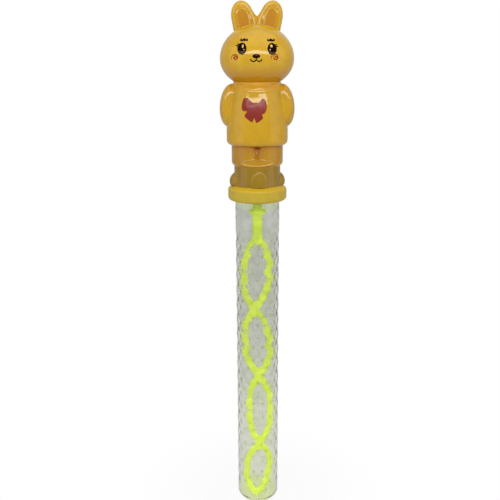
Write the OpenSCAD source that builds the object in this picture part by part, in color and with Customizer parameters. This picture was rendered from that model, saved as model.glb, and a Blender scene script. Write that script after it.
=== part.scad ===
// Bubble wand: a clear tube of bubble liquid, closed by a screw collar that carries a dipping wand below
// and a hollow rabbit figure above as its handle. Lengths are millimetres and angles degrees.
// The origin is the centre of the base, +Z is up, and the rabbit faces -Y.

/* [Tube] */
// Outside diameter of the clear tube
tube_od = 31; // [29:0.5:36]
// Wall of the clear tube
tube_wall = 1; // [0.7:0.1:1.4]
// Height of the tube from its base to its rim
tube_h = 245; // [200:1:300]
// Radius of the rounded corner at the foot of the tube
foot_r = 5; // [3:0.5:6]
// Radius of the dished centre of the foot
dish_r = 7; // [4:0.5:8]
// Depth of the dished centre of the foot
dish_h = 1; // [0.5:0.1:1.5]

/* [Thread] */
// Rise of the thread in one turn
pitch = 4; // [3.6:0.1:4.4]
// Height of a thread ridge above the wall it stands on
ridge_h = 1.2; // [1:0.1:1.3]
// Width of a thread ridge at its foot
ridge_foot_w = 1.7; // [1.5:0.1:1.8]
// Width of a thread ridge at its crest
ridge_crest_w = 0.7; // [0.5:0.1:1]
// Distance from the rim down to the centre of the highest ridge
ridge_drop = 1.1; // [1:0.1:1.4]
// Arc that the ridge on the tube runs round
neck_arc = 400; // [360:5:420]
// Arc that the ridge in the collar runs round
collar_arc = 300; // [240:5:320]
// Turn that frees the collar from the tube
unscrew_angle = 540; // [540:5:600]
// Free space between a crest and the wall that faces it
crest_gap = 0.4; // [0.3:0.05:0.6]

/* [Collar] */
// Height of the collar from its lower edge to the ledge that carries the figure
collar_h = 10.5; // [10:0.5:14]
// Wall of the collar outside the roots of its thread
collar_wall = 3.4; // [2.8:0.1:4.5]
// Rounding of the lower outer edge
collar_edge_r = 2.4; // [1.5:0.1:2.6]
// Height of the sloping shoulder
shoulder_h = 3; // [2:0.1:3.6]
// Rounding where the side turns into the shoulder
shoulder_r = 1.2; // [0.6:0.1:1.4]
// Thickness of the web across the collar
web_t = 2.3; // [1.6:0.1:3]
// Height of the spigot that the figure is pushed over
spigot_h = 11; // [7:0.5:12]
// Wall of the spigot
spigot_wall = 1.4; // [1:0.1:2]
// Wall of the boss that holds the stem of the wand
boss_wall = 1.8; // [1.2:0.1:2.4]
// Length of the boss below the web
boss_drop = 5; // [3:0.5:6]
// Length of the boss above the web
boss_rise = 9; // [6:0.5:10]

/* [Washer] */
// Thickness of the sealing washer
washer_t = 1.2; // [0.8:0.1:1.6]
// Width of the washer's ring
washer_w = 6; // [4:0.5:7]
// Free space between the washer and the thread of the collar
washer_gap = 0.3; // [0.2:0.05:0.5]

/* [Wand] */
// Thickness of the flat wand
wand_t = 3.6; // [2.5:0.1:4.5]
// Width of the stem
stem_w = 7; // [5:0.5:8]
// Radius of the plug that sits in the boss
plug_r = 3; // [2:0.1:3.2]
// Running clearance of the plug in the boss
plug_gap = 0.05; // [0.03:0.01:0.08]
// Length of the stem above its flange
upper_stem_h = 11; // [8:0.5:14]
// Diameter of the flange that sheds liquid
flange_d = 12; // [10:0.5:16]
// Thickness of the flange
flange_t = 2.2; // [1.5:0.1:3]
// Length of the stem from its flange to the first loop
lower_stem_h = 16; // [10:0.5:24]
// Number of loops
loops = 4; // [2:1:6]
// Width of a strand
strand_w = 5; // [3:0.5:6]
// Free space between the loops and the bore of the tube
loop_gap = 2.7; // [2:0.1:4]
// Free space between the tip and the floor of the tube
tip_gap = 1; // [0.5:0.1:3]

/* [Figure] */
// Wall of the hollow figure
skin = 1.2; // [0.8:0.1:1.5]
// Radius of the waist that sits on the spigot
waist_r = 16; // [15:0.5:17]
// Height of the waist
waist_h = 13.5; // [12.5:0.5:16]
// Radius of the balls that bulge out of the waist
lobe_r = 7.2; // [6:0.1:7.6]
// How far the balls stand out of the waist
lobe_out = 3.4; // [2.5:0.1:3.8]
// Height of the balls' centres above the collar
lobe_rise = 2.5; // [2:0.1:3.5]
// Radius of the legs
legs_r = 17.7; // [17:0.1:19]
// Height of the legs
legs_h = 14.3; // [12:0.1:18]
// Rounding of the lower edge of the legs
legs_edge_r = 3; // [2:0.1:4]
// Distance from the axis to the flat front of the legs
legs_front = 16.9; // [16.5:0.1:17]
// Width of the groove between the legs
groove_w = 4.4; // [3:0.1:6]
// Radius of the coat at its hem
coat_r = 21; // [19.5:0.5:23]
// Radius of the coat at its neckline
neckline_r = 16.4; // [15:0.1:17]
// Height of the coat
coat_h = 40; // [36:0.5:46]
// Height of the straight part of the coat above its hem
hem_h = 10; // [8:0.5:14]
// Rounding of the hem
hem_r = 3.4; // [2:0.1:4]
// Height of the arms' centres above the hem
arm_rise = 26.2; // [23:0.1:28]
// Distance from the axis to the arms' centres
arm_out = 18.3; // [17:0.1:20]
// Half thickness of an arm
arm_x = 7.4; // [6:0.1:8.5]
// Half depth of an arm, front to back
arm_y = 11; // [9:0.5:13]
// Half length of an arm
arm_z = 14.8; // [13:0.1:16]
// Outward lean of the arms
arm_lean = 5; // [0:1:8]
// Height of the head's widest place above the coat
head_rise = 16.8; // [15:0.1:18]
// Radius of the head
head_r = 24.8; // [22:0.1:28]
// Height of the head above its widest place
head_up = 22; // [19:0.5:25]
// Depth of the head below its widest place
head_down = 19; // [18:0.5:21]
// Half width of an ear
ear_r = 7.5; // [6:0.1:8]
// Height of the rounded end of an ear
ear_end = 10.5; // [8:0.5:12]
// Half thickness of an ear
ear_y = 4.2; // [3.4:0.1:5]
// Height of the centre of an ear's round end above the head's widest place
ear_rise = 26.5; // [24:0.1:30]
// Distance from the axis to the centre of an ear's round end
ear_out = 9.5; // [9:0.1:11]
// Outward lean of the ears
ear_lean = 11; // [0:1:12]
// How far the ears stand behind the middle of the head
ear_back = 2.5; // [0:0.5:4]
// Depth of the hollow in the front of an ear
ear_dip = 1.4; // [0.8:0.1:1.6]
// Width of the rim round that hollow
ear_rim = 3; // [2:0.1:3.6]
// Height of the crown that joins the ears above the head's widest place
crown_up = 27; // [25:0.5:29]
// Half thickness of the crown
crown_y = 3.7; // [3:0.1:4]

/* [Hidden] */
$fn = 64;
// Small enough to hide in a wall, large enough to make two solids one
bite = 0.5;
// How far a cut runs past what it cuts
over = 1;
// Arc over which a ridge rises out of its wall at each end
run_out_arc = 40;
// Height left between the two ridges once the collar is free
thread_end_gap = 0.1;
// Free space above the plug in its socket
plug_top_gap = 0.3;
// Height of the neck between the coat and the head
neck_h = 2;
// Turn of the four balls from the rabbit's front
lobe_turn = 5;
// Points round a curve that a formula gives
curve_steps = 20;
// Points round the arc of a rounded edge
arc_steps = 5;
// Points of the thread in one turn
thread_steps = 36;

tube_r = tube_od / 2;
bore_r = tube_r - tube_wall;
floor_z = dish_h + tube_wall;

root_r = tube_r + ridge_h + crest_gap;
collar_r = root_r + collar_wall;
web_z = tube_h + washer_t;
ledge_z = web_z + web_t;
washer_r = root_r - ridge_h - washer_gap;
collar_z = ledge_z - collar_h;
spigot_r = waist_r - skin - plug_gap;
boss_z = web_z - boss_drop;
boss_r = plug_r + plug_gap + boss_wall;
socket_top = ledge_z + boss_rise - boss_wall;

flange_z = boss_z - upper_stem_h - flange_t;
fork_z = flange_z - lower_stem_h;
tip_z = floor_z + tip_gap;
// The last loop is closed by its tip, so it is this share of the length of the others
last_loop_share = 0.88;
loop_len = (fork_z - tip_z) / (loops - 1 + last_loop_share);
loop_r = bore_r - loop_gap;
// Height of the solid crossing between two loops, as a share of the width of a strand
cross_share = 1.7;
// Power that makes a sine wave into the loops' round-shouldered ovals
oval_power = 0.7;

legs_z = ledge_z + waist_h;
hem_z = legs_z + legs_h;
coat_top = hem_z + coat_h;
head_z = coat_top + head_rise;
// The straight part of an ear ends inside the head
ear_len = ear_rise - head_up / 2;

neck_ridge_z = tube_h - ridge_drop - pitch * neck_arc / 360;
// The collar's ridge starts so high that it clears the tube's ridge after the turn that frees it, and in the
// closed place it lies half a pitch under the tube's ridge
collar_ridge_z = tube_h - ridge_drop + ridge_foot_w - pitch * unscrew_angle / 360 + thread_end_gap;
collar_start = (collar_ridge_z - neck_ridge_z + pitch / 2) / pitch * 360;

// A helical ridge on a wall of radius r: side 1 stands outwards and side -1 inwards. It starts at the angle
// a0 and the height z0, rises one pitch a turn, and sinks into the wall at both ends.
module ridge(r, side, a0, z0, arc) {
    n = ceil(arc / 360 * thread_steps);
    function height(a) = min(ridge_h, (ridge_h + bite / 2) * min(a, arc - a) / run_out_arc - bite / 2);
    function section(a) = let (root = r - side * bite, crest = r + side * height(a))
        [[root, -ridge_foot_w / 2], [crest, -ridge_crest_w / 2], [crest, ridge_crest_w / 2],
         [root, ridge_foot_w / 2]];
    function ring(a) = [for (p = section(a))
        [p.x * cos(a + a0), p.x * sin(a + a0), z0 + pitch * a / 360 + p.y]];
    m = len(section(0));
    points = [for (i = [0 : n]) each ring(arc * i / n)];
    sides = [for (i = [0 : n - 1], k = [0 : m - 1])
        let (a = m * i + k, b = m * i + (k + 1) % m) [a, a + m, b + m, b]];
    caps = [[for (k = [0 : m - 1]) k], [for (k = [m - 1 : -1 : 0]) m * n + k]];
    faces = concat(sides, caps);
    polyhedron(points, side < 0 ? faces : [for (f = faces) [for (i = [len(f) - 1 : -1 : 0]) f[i]]]);
}

// An arc of radius r round (x, z), from the angle a0 to a1
function arc_points(x, z, r, a0, a1) = [for (i = [0 : arc_steps])
    let (a = a0 + (a1 - a0) * i / arc_steps) [x + r * cos(a), z + r * sin(a)]];

module bottle_tube() {
    inner_r = foot_r - tube_wall;
    color([0.80, 0.84, 0.80, 0.45]) {
        rotate_extrude() polygon(concat(
            [[0, dish_h], [dish_r, dish_h], [dish_r, 0]],
            arc_points(tube_r - foot_r, foot_r, foot_r, -90, 0),
            [[tube_r, tube_h], [bore_r, tube_h]],
            arc_points(bore_r - inner_r, floor_z + inner_r, inner_r, 0, -90),
            [[0, floor_z]]));
        ridge(tube_r, 1, 0, neck_ridge_z, neck_arc);
    }
}

module screw_collar() {
    color([0.77, 0.68, 0.22]) {
        difference() {
            union() {
                rotate_extrude() polygon(concat(
                    arc_points(collar_r - collar_edge_r, collar_z + collar_edge_r, collar_edge_r, -90, 0),
                    arc_points(collar_r - shoulder_r, ledge_z - shoulder_h, shoulder_r, 0, 60),
                    [[waist_r + bite, ledge_z], [spigot_r, ledge_z], [spigot_r, ledge_z + spigot_h],
                     [spigot_r - spigot_wall, ledge_z + spigot_h], [spigot_r - spigot_wall, ledge_z],
                     [boss_r, ledge_z], [boss_r, ledge_z + boss_rise], [0, ledge_z + boss_rise],
                     [0, boss_z], [boss_r, boss_z], [boss_r, web_z], [root_r, web_z], [root_r, collar_z]]));
                ridge(root_r, -1, collar_start, collar_ridge_z, collar_arc);
            }
            translate([0, 0, boss_z - over]) cylinder(r = plug_r + plug_gap, h = socket_top - boss_z + over);
        }
    }
}

module sealing_washer() {
    color([0.93, 0.93, 0.90]) translate([0, 0, tube_h]) difference() {
        cylinder(r = washer_r, h = washer_t);
        translate([0, 0, -over]) cylinder(r = washer_r - washer_w, h = washer_t + 2 * over);
    }
}

// Half width of an oval with pointed ends at the share u of its length
function oval(u) = pow(max(0, sin(180 * u)), oval_power);

// Outline of an oval from z1 down to z0, w to each side and half of neck_w wide at its ends
function oval_points(z1, z0, w, neck_w) =
    let (side = [for (i = [0 : curve_steps]) let (u = i / curve_steps)
        [max(neck_w / 2, w * oval(u)), z1 + (z0 - z1) * u]])
    concat(side, [for (i = [curve_steps : -1 : 0]) [-side[i].x, side[i].y]]);

module wand() {
    cross_h = strand_w * cross_share;
    color([0.80, 0.91, 0.35]) {
        translate([0, wand_t / 2, 0]) rotate([90, 0, 0]) linear_extrude(wand_t) difference() {
            union() {
                translate([-stem_w / 2, fork_z - bite]) square([stem_w, flange_z - fork_z + 2 * bite]);
                for (i = [0 : loops - 1]) {
                    z1 = fork_z - i * loop_len;
                    polygon(oval_points(z1 + bite, max(tip_z, z1 - loop_len), loop_r, stem_w));
                }
            }
            for (i = [0 : loops - 1]) {
                z1 = fork_z - i * loop_len;
                z0 = max(tip_z + strand_w - cross_h / 2, z1 - loop_len);
                polygon(oval_points(z1 - cross_h / 2, z0 + cross_h / 2, loop_r - strand_w, 0));
            }
        }
        translate([0, 0, flange_z]) cylinder(d = flange_d, h = flange_t);
        translate([0, 0, flange_z + flange_t]) cylinder(d = stem_w, h = upper_stem_h);
        translate([0, 0, boss_z - bite]) cylinder(r = plug_r, h = socket_top - plug_top_gap - boss_z + bite);
    }
}

// The figure's form, drawn in by inset all round: 0 gives its outside and skin gives its hollow
module figure_form(inset) {
    translate([0, 0, ledge_z - over]) cylinder(r = waist_r - inset, h = over + waist_h + legs_edge_r - inset);
    for (a = [0 : 90 : 270]) rotate([0, 0, a + lobe_turn])
        translate([waist_r + lobe_out - lobe_r, 0, ledge_z + lobe_rise]) sphere(lobe_r - inset);
    legs(inset);
    coat(inset);
    for (side = [-1, 1]) arm(side, inset);
    head(inset);
    for (side = [-1, 1]) ear(side, inset);
    crown(inset);
}

module legs(inset) {
    cut_h = legs_h + hem_r + 2 * over;
    difference() {
        rotate_extrude() polygon(concat([[0, legs_z + inset]],
            arc_points(legs_r - legs_edge_r, legs_z + legs_edge_r, legs_edge_r - inset, -90, 0),
            [[legs_r - inset, hem_z + hem_r], [0, hem_z + hem_r]]));
        for (a = [0, 180]) rotate([0, 0, a]) {
            translate([-legs_r, -legs_front - over - legs_r + inset, legs_z - over])
                cube([2 * legs_r, legs_r + over, cut_h]);
            translate([0, inset - legs_front, legs_z - over]) rotate([0, 0, 45])
                translate([-groove_w / 2, -groove_w / 2, 0]) cube([groove_w, groove_w, cut_h]);
        }
    }
}

module coat(inset) {
    rotate_extrude() polygon(concat([[0, hem_z + inset]],
        arc_points(coat_r - hem_r, hem_z + hem_r, hem_r - inset, -90, 0),
        [[coat_r - inset, hem_z + hem_h], [neckline_r - inset, coat_top],
         [neckline_r - inset, coat_top + neck_h - inset], [0, coat_top + neck_h - inset]]));
}

module arm(side, inset) {
    translate([side * arm_out, 0, hem_z + arm_rise]) rotate([0, -side * arm_lean, 0])
        scale([arm_x - inset, arm_y - inset, arm_z - inset]) sphere(1);
}

// Half an ellipse in the r-z plane, from its lower end to its upper end, with a lower half of another height
function head_points(inset) = [for (i = [0 : 2 * curve_steps])
    let (a = -90 + 90 * i / curve_steps, down = head_down - inset, up = head_up - inset)
    [(head_r - inset) * cos(a), head_z + (a < 0 ? down : up) * sin(a)]];

module head(inset) {
    rotate_extrude() polygon(head_points(inset));
}

module ear(side, inset) {
    dip_r = ear_r - ear_rim + inset;
    dip_end = ear_end - ear_rim + inset;
    translate([side * ear_out, ear_back, head_z + ear_rise]) rotate([0, side * ear_lean, 0]) difference() {
        union() {
            scale([ear_r - inset, ear_y - inset, ear_end - inset]) sphere(1);
            translate([0, 0, -ear_len]) scale([ear_r - inset, ear_y - inset, 1]) cylinder(r = 1, h = ear_len);
        }
        translate([0, inset - ear_y + ear_dip, 0]) rotate([90, 0, 0]) linear_extrude(ear_y) {
            scale([1, dip_end / dip_r]) circle(dip_r);
            translate([-dip_r, -ear_len]) square([2 * dip_r, ear_len]);
        }
    }
}

module crown(inset) {
    translate([0, ear_back, head_z]) scale([ear_out, crown_y - inset, crown_up - inset]) sphere(1);
}

module figure_handle() {
    color([0.82, 0.63, 0.18]) difference() {
        figure_form(0);
        figure_form(skin);
        translate([0, 0, ledge_z - lobe_r]) cylinder(r = collar_r, h = lobe_r);
    }
}

bottle_tube();
screw_collar();
sealing_washer();
wand();
figure_handle();
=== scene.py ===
# A bubble wand: a clear dimpled tube for bubble liquid, closed by a screw collar that carries a lime dipping
# wand below and a yellow rabbit above as the handle. Shapes are worked out in millimetres and put into meshes
# in metres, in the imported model's frame.
import math

import bmesh
import bpy
import numpy as np
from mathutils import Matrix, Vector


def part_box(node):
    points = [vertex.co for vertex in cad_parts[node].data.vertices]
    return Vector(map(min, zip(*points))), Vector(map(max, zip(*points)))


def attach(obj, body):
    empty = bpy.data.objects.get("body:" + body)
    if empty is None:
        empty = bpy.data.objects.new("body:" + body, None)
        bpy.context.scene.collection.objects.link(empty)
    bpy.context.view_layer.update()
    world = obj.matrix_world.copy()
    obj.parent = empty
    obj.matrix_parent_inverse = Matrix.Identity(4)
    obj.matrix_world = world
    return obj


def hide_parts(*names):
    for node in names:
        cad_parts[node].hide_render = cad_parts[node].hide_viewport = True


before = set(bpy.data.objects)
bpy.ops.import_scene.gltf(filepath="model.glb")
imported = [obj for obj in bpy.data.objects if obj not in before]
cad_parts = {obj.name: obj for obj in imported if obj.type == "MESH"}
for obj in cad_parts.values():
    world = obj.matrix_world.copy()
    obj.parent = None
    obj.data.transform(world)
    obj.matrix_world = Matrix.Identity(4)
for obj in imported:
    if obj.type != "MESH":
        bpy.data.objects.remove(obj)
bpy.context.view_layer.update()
scene = bpy.context.scene
scene.view_settings.view_transform = "Standard"

# The stage: a camera where the photograph was taken from, a pale floor, and soft studio light.
# The camera stands in front of the tube and looks down at it, with the tube a little right of the middle.
MM = 0.001
view_down = math.radians(15.07)
view_roll = math.radians(0.13)
view_distance = 466.6
view_height = 200.74
sensor_width = 36
photo_width = 500
focal_pixels = 646.6
aside_pixels = -7.45

camera_data = bpy.data.cameras.new("camera")
camera_data.sensor_width = sensor_width
camera_data.lens = sensor_width * (focal_pixels / photo_width)
camera_data.shift_x = aside_pixels / photo_width
camera_data.clip_start = 0.01
camera = bpy.data.objects.new("camera", camera_data)
camera.location = (0, -view_distance * math.cos(view_down) * MM,
                   (view_height + view_distance * math.sin(view_down)) * MM)
camera.rotation_euler = (math.pi / 2 - view_down,
                         view_roll * math.cos(view_down),
                         -view_roll * math.sin(view_down))
scene.collection.objects.link(camera)
scene.camera = camera


class Field:
    """A number that varies over a surface: a socket whose sums and products add Math nodes."""

    def __init__(self, tree, socket):
        self.tree = tree
        self.socket = socket

    def math(self, operation, *values, clamp=False):
        return make(self.tree, "ShaderNodeMath", {"operation": operation, "use_clamp": clamp}, *values)

    def __add__(self, other):
        return self.math("ADD", self, other)

    def __radd__(self, other):
        return self.math("ADD", other, self)

    def __sub__(self, other):
        return self.math("SUBTRACT", self, other)

    def __rsub__(self, other):
        return self.math("SUBTRACT", other, self)

    def __mul__(self, other):
        return self.math("MULTIPLY", self, other)

    def __rmul__(self, other):
        return self.math("MULTIPLY", other, self)

    def larger(self, other):
        return self.math("MAXIMUM", self, other)

    def step(self, low, high):
        """Rises smoothly from 0 at low to 1 at high."""
        settings = {"interpolation_type": "SMOOTHSTEP"}
        return make(self.tree, "ShaderNodeMapRange", settings, self, low, high, 0.0, 1.0)


def make(tree, kind, settings, *values, output=0, **named):
    """Adds one node: its settings first, then its inputs by place or, with _ for a space, by name."""
    node = tree.nodes.new(kind)
    for name, value in settings.items():
        setattr(node, name, value)
    for key, value in list(enumerate(values)) + [(k.replace("_", " "), v) for k, v in named.items()]:
        if isinstance(value, Field):
            tree.links.new(value.socket, node.inputs[key])
        elif value is not None:
            node.inputs[key].default_value = value
    return Field(tree, node.outputs[output])


def where(tree):
    """The place on the object, in metres, as a vector socket."""
    return make(tree, "ShaderNodeTexCoord", {}, output="Object")


def along(tree, axis):
    """The place on the object along X, Y or Z, in millimetres."""
    return make(tree, "ShaderNodeSeparateXYZ", {}, where(tree), output=axis) * (1 / MM)


def seen(tree):
    """1 for what the camera sees, straight or through clear plastic, less in a gloss, and 0 for all other
    light."""
    straight, gloss, through, depth = [
        make(tree, "ShaderNodeLightPath", {}, output=name)
        for name in ("Is Camera Ray", "Is Glossy Ray", "Is Transmission Ray", "Transmission Depth")]
    inside_clear = depth.math("MINIMUM", depth, 1.0) * inside_share
    return straight.larger(through).larger(gloss * gloss_share).larger(gloss * inside_clear)


world = bpy.data.worlds.new("studio")
scene.world = world
world.use_nodes = True
world.node_tree.nodes.clear()
ambient = 0.38
gloss_share = 0.24
inside_share = 0.8
surround = make(world.node_tree, "ShaderNodeBackground", {}, (1, 1, 1, 1),
                seen(world.node_tree) * (1 - ambient) + ambient)
world_out = world.node_tree.nodes.new("ShaderNodeOutputWorld")
world.node_tree.links.new(surround.socket, world_out.inputs[0])


def put_mesh(name, points, faces, smooth=True, painted_light=None):
    """A mesh object from points in millimetres, in the order x, y, z, and faces of four corners. Points that
    fall on one another become one, which closes the poles, and the faces turn outward. The optional value for
    each point is kept as an attribute, from which the material paints shading and highlights."""
    mesh = bpy.data.meshes.new(name)
    points = np.asarray(points, float).reshape(-1, 3) * MM
    mesh.from_pydata(points.tolist(), [], np.asarray(faces).reshape(-1, 4).tolist())
    if painted_light is not None:
        values = np.ravel(painted_light).astype(np.float32)
        mesh.attributes.new("painted_light", "FLOAT", "POINT").data.foreach_set("value", values)
    shape = bmesh.new()
    shape.from_mesh(mesh)
    bmesh.ops.remove_doubles(shape, verts=shape.verts, dist=1e-7)
    bmesh.ops.recalc_face_normals(shape, faces=shape.faces)
    shape.to_mesh(mesh)
    shape.free()
    mesh.polygons.foreach_set("use_smooth", np.full(len(mesh.polygons), smooth))
    piece = bpy.data.objects.new(name, mesh)
    scene.collection.objects.link(piece)
    return piece


floor_reach = 6000
floor_matte_share = 0.09
floor_points = [[-floor_reach, -floor_reach, 0], [floor_reach, -floor_reach, 0],
                [floor_reach, floor_reach, 0], [-floor_reach, floor_reach, 0]]
floor = put_mesh("floor", floor_points, [[0, 1, 2, 3]], smooth=False)
floor_material = bpy.data.materials.new("pale_floor")
floor_material.use_nodes = True
floor_tree = floor_material.node_tree
floor_tree.nodes.clear()
floor_matte = make(floor_tree, "ShaderNodeBsdfDiffuse", {}, (0.82, 0.82, 0.82, 1))
floor_white = make(floor_tree, "ShaderNodeEmission", {}, (1, 1, 1, 1), 1.0)
floor_x = along(floor_tree, "X")
floor_y = along(floor_tree, "Y")
floor_far2 = floor_x * floor_x + floor_y * floor_y
floor_far = floor_far2.math("SQRT", floor_far2)
floor_whiteness = floor_far.step(25.0, 120.0) * floor_matte_share + (1 - floor_matte_share)
floor_shows = seen(floor_tree) * floor_whiteness
floor_look = make(floor_tree, "ShaderNodeMixShader", {}, floor_shows, floor_matte, floor_white)
floor_out = floor_tree.nodes.new("ShaderNodeOutputMaterial")
floor_tree.links.new(floor_look.socket, floor_out.inputs[0])
floor.data.materials.append(floor_material)


def softbox(name, place, aim, width, height, watts, shape="RECTANGLE"):
    """An area light at place, facing aim, both in millimetres."""
    data = bpy.data.lights.new(name, "AREA")
    data.shape = shape
    data.size = width * MM
    data.size_y = height * MM
    data.energy = watts
    lamp = bpy.data.objects.new(name, data)
    lamp.location = [value * MM for value in place]
    direction = np.array(aim, float) - np.array(place, float)
    yaw = math.atan2(direction[0], direction[1])
    pitch = math.atan2(direction[2], math.hypot(direction[0], direction[1]))
    lamp.rotation_euler = (math.pi / 2 + pitch, 0, -yaw)
    scene.collection.objects.link(lamp)


softbox("front_strip", (0, -650, 594), (0, 0, 300), 1250, 150, 3.1, "ELLIPSE")
softbox("top_box", (0, -200, 1200), (0, 0, 300), 1400, 1100, 3.2)
softbox("left_box", (-750, -250, 380), (0, 0, 220), 600, 900, 0.9)
softbox("right_box", (750, -250, 380), (0, 0, 220), 600, 900, 0.9)
softbox("back_box", (100, 700, 800), (0, 0, 200), 900, 600, 0.4)


# The tube: clear plastic blown in a mould whose wall is covered with rows of tall dimples, so that what is
# behind it breaks up. Its foot is flat with a rounded corner, and its neck is plain under a screw thread.
tube_radius = 15.5
tube_wall = 1.0
foot_round = 5.0
dish_radius = 7.0
dish_depth = 1.0
tube_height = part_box("bottle_tube")[1][2] / MM
dimple_depth = 0.42
dimple_half_width = 3.3
dimple_half_height = 5.2
dimple_columns = 28
dimple_pitch = 11.4
dimples_from = 12.0
dimples_to = 219.0
tube_columns = 252
neck_beads = (224.9, 231.2)
neck_bead_height = 0.18


def arc(centre_r, centre_z, radius, start, end, count):
    """Points (r, z) on a circle round (centre_r, centre_z), at angles in degrees from start to end."""
    angle = np.radians(np.linspace(start, end, count))
    return np.stack([centre_r + radius * np.cos(angle), centre_z + radius * np.sin(angle)], axis=-1)


def turned(profile, columns, reach=None):
    """The points of a profile (r, z) turned about the Z axis, in rows of columns points.
    reach adds to the radius of each point: it is given the angles and heights."""
    angle = np.linspace(0, 2 * np.pi, columns, endpoint=False)
    radius = np.repeat(profile[:, :1], columns, axis=1)
    z = np.repeat(profile[:, 1:], columns, axis=1)
    if reach is not None:
        radius = radius + reach(angle[None, :], z)
    return np.stack([radius * np.cos(angle), radius * np.sin(angle), z], axis=-1)


def lattice(angle, z):
    """Tall hollows in staggered rows: (1 - d squared) squared, with d the distance from the nearest centre as
    a share of a dimple's half width and half height."""
    column = 2 * np.pi / dimple_columns
    total = np.zeros(np.broadcast(angle, z).shape)
    for shift in (0, 1):
        around = (angle / column - shift) % 2 - 1
        level = (z - dimples_from) / dimple_pitch + 0.5 * shift
        level = level - np.round(level)
        d2 = ((around * column * tube_radius / dimple_half_width) ** 2
              + (level * dimple_pitch / dimple_half_height) ** 2)
        total += np.clip(1 - d2, 0, None) ** 2
    return np.clip(total, 0, 1) * np.clip((z - dimples_from) / 6, 0, 1) * np.clip((dimples_to - z) / 6, 0, 1)


def dimples(angle, z):
    """The hollows, shallower low on the tube, and two faint beads round the wall above them."""
    beads = sum(np.exp(-((z - bead_z) / 0.7) ** 2) for bead_z in neck_beads)
    depth = dimple_depth * (0.5 + 0.5 * np.clip((z - 70) / 60, 0, 1))
    return neck_bead_height * beads - depth * lattice(angle, z)


def put_shells(name, shells, painted_light=None):
    """One piece from closed shells. A shell is rows of points: each row closes on itself, and faces with
    four corners join it to the next row."""
    points, faces, first = [], [], 0
    for shell in shells:
        rows, columns = shell.shape[:2]
        row, column = np.meshgrid(np.arange(rows - 1), np.arange(columns), indexing="ij")
        here = first + row * columns + column
        beside = first + row * columns + (column + 1) % columns
        faces.append(np.stack([here, beside, beside + columns, here + columns], axis=-1).reshape(-1, 4))
        points.append(shell.reshape(-1, 3))
        first += rows * columns
    return put_mesh(name, np.concatenate(points), np.concatenate(faces), painted_light=painted_light)


inner_round = foot_round - tube_wall
floor_height = dish_depth + tube_wall
outside = np.concatenate([
    [[0, dish_depth], [dish_radius * 0.7, dish_depth]],
    arc(dish_radius - 0.4, dish_depth - 0.4, 0.4, 90, 0, 5),
    [[dish_radius, 0.15], [dish_radius + 0.15, 0.0]],
    arc(tube_radius - foot_round, foot_round, foot_round, -90, 0, 20),
    np.stack([np.full(260, tube_radius), np.linspace(foot_round + 1, tube_height - 0.3, 260)], axis=-1),
    arc(tube_radius - 0.3, tube_height - 0.3, 0.3, 0, 90, 4)])
bore = tube_radius - tube_wall
inside = np.concatenate([
    arc(bore + 0.3, tube_height - 0.3, 0.3, 90, 180, 4),
    np.stack([np.full(40, bore), np.linspace(tube_height - 1, floor_height + inner_round + 1, 40)], axis=-1),
    arc(bore - inner_round, floor_height + inner_round, inner_round, 0, -90, 14),
    [[dish_radius * 0.7, floor_height], [0, floor_height]]])


def outer_only(angle, z):
    """The dimples are pressed into the outside alone, so they act as lenses."""
    offset = dimples(angle, z)
    offset[len(outside):] = 0
    return offset


tube_points = turned(np.concatenate([outside, inside]), tube_columns, outer_only)
# The dimples' pattern, kept on the tube as the attribute that places the painted shading of dark flecks in
# the dimples.
hollows = np.zeros(tube_points.shape[:2])
tube_angles = np.linspace(0, 2 * np.pi, tube_columns, endpoint=False)[None, :]
hollows[:len(outside)] = lattice(tube_angles, outside[:, 1:])
tube = put_shells("clear_tube", [tube_points], painted_light=hollows)


def finish(name, colour, roughness, grain=None, **constants):
    """A plastic: a Principled shader with a varying colour and roughness and other sockets held constant.
    grain is the size in millimetres and the depth in micrometres of its fine unevenness."""
    material = bpy.data.materials.new(name)
    material.use_nodes = True
    shader = material.node_tree.nodes["Principled BSDF"]
    for key, value in constants.items():
        shader.inputs[key.replace("_", " ")].default_value = value
    tree = material.node_tree
    for key, maker in (("Base Color", colour), ("Roughness", roughness)):
        value = maker(tree) if callable(maker) else maker
        if isinstance(value, Field):
            tree.links.new(value.socket, shader.inputs[key])
        else:
            shader.inputs[key].default_value = value
    if grain:
        size, depth = grain
        height = noise(tree, size)
        uneven = make(tree, "ShaderNodeBump", {}, Strength=1.0, Distance=depth * 1e-6, Height=height)
        tree.links.new(uneven.socket, shader.inputs["Normal"])
    return material


def noise(tree, size, detail=2.0):
    """Soft noise from 0 to 1 with features of size millimetres."""
    return make(tree, "ShaderNodeTexNoise", {}, where(tree), Scale=1 / (size * MM), Detail=detail)


def mixed(factor, first, second):
    """The colour first where factor is 0 and second where it is 1."""
    node = factor.tree.nodes.new("ShaderNodeMix")
    node.data_type = "RGBA"
    factor.tree.links.new(factor.socket, node.inputs[0])
    for place, colour in ((6, first), (7, second)):
        if isinstance(colour, Field):
            factor.tree.links.new(colour.socket, node.inputs[place])
        else:
            node.inputs[place].default_value = colour
    return Field(factor.tree, node.outputs[2])


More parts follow.
